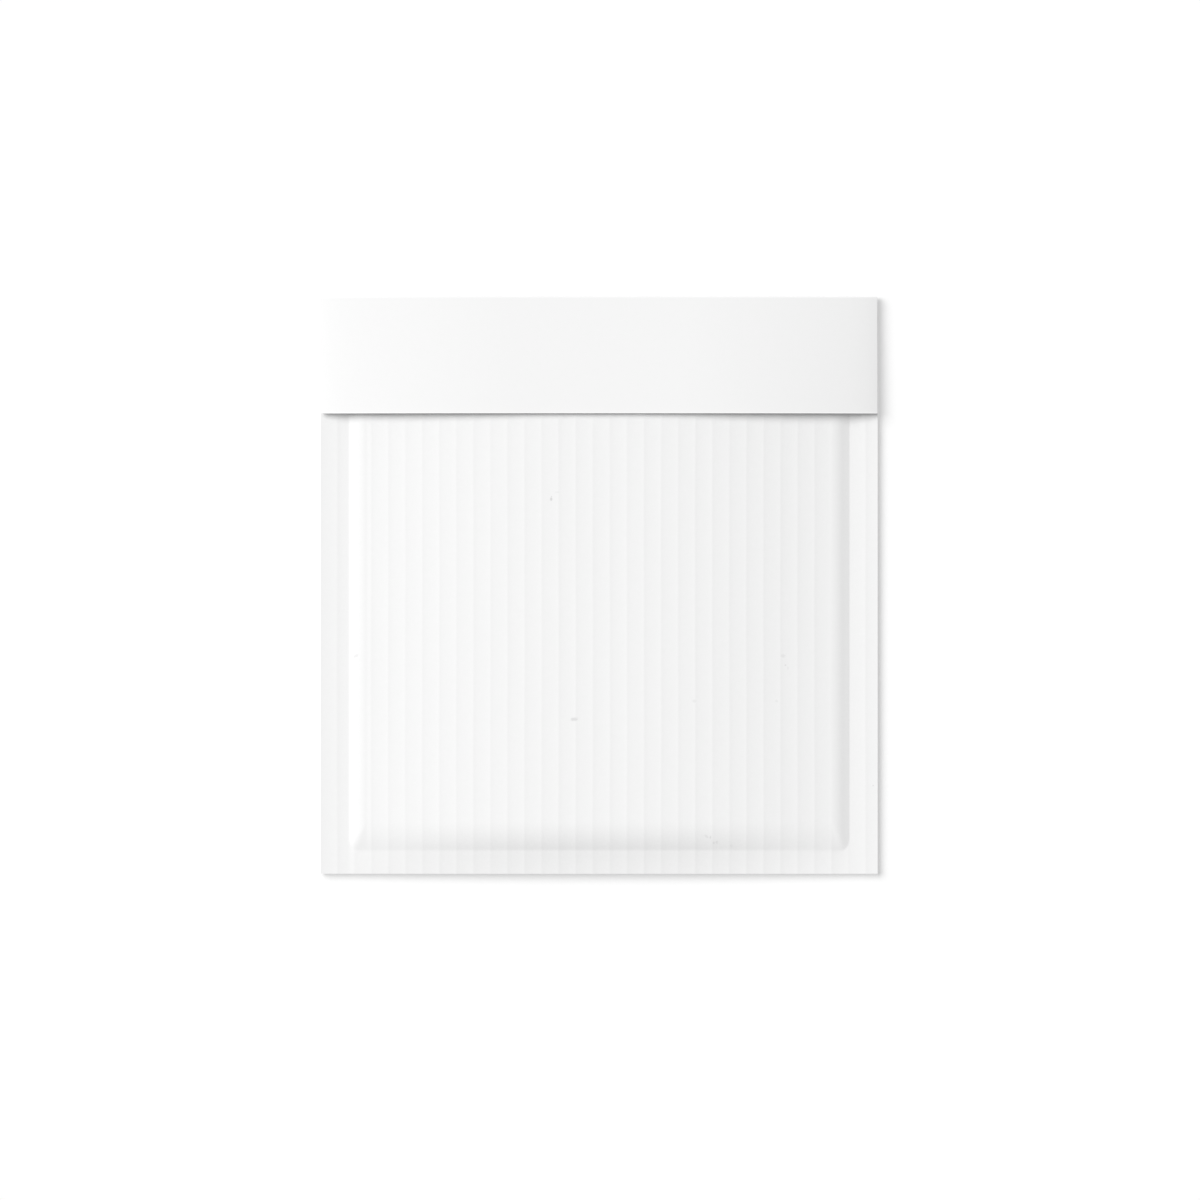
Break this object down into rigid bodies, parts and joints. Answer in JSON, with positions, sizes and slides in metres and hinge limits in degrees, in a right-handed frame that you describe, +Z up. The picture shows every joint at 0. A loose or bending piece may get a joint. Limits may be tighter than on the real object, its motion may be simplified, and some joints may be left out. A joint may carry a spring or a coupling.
{
  "type": "padded envelope",
  "caption": "Nearly square padded envelope of white paper with fluted paper padding, sealed along both sides and the bottom, its flap folded shut over the front.",
  "frame": {"origin": "Middle of the envelope's footprint, on the surface that it lies on", "axes": "+X across the envelope, to the right as the front is seen with the flap at the top; +Y along the flutes from the bottom seam towards the mouth; +Z up, out of the front"},
  "size_m": [0.2, 0.2074, 0.0106],
  "materials": {
    "outer_paper": "matte",
    "fluted_paper": "matte",
    "adhesive": "satin",
    "release_paper": "satin"
  },
  "bodies": {
    "root": {"back_sheet": "outer_paper", "front_sheet": "outer_paper", "back_fluting": "fluted_paper", "front_fluting": "fluted_paper", "adhesive_strip": "adhesive", "release_strip": "release_paper"}
  },
  "joints": []
}
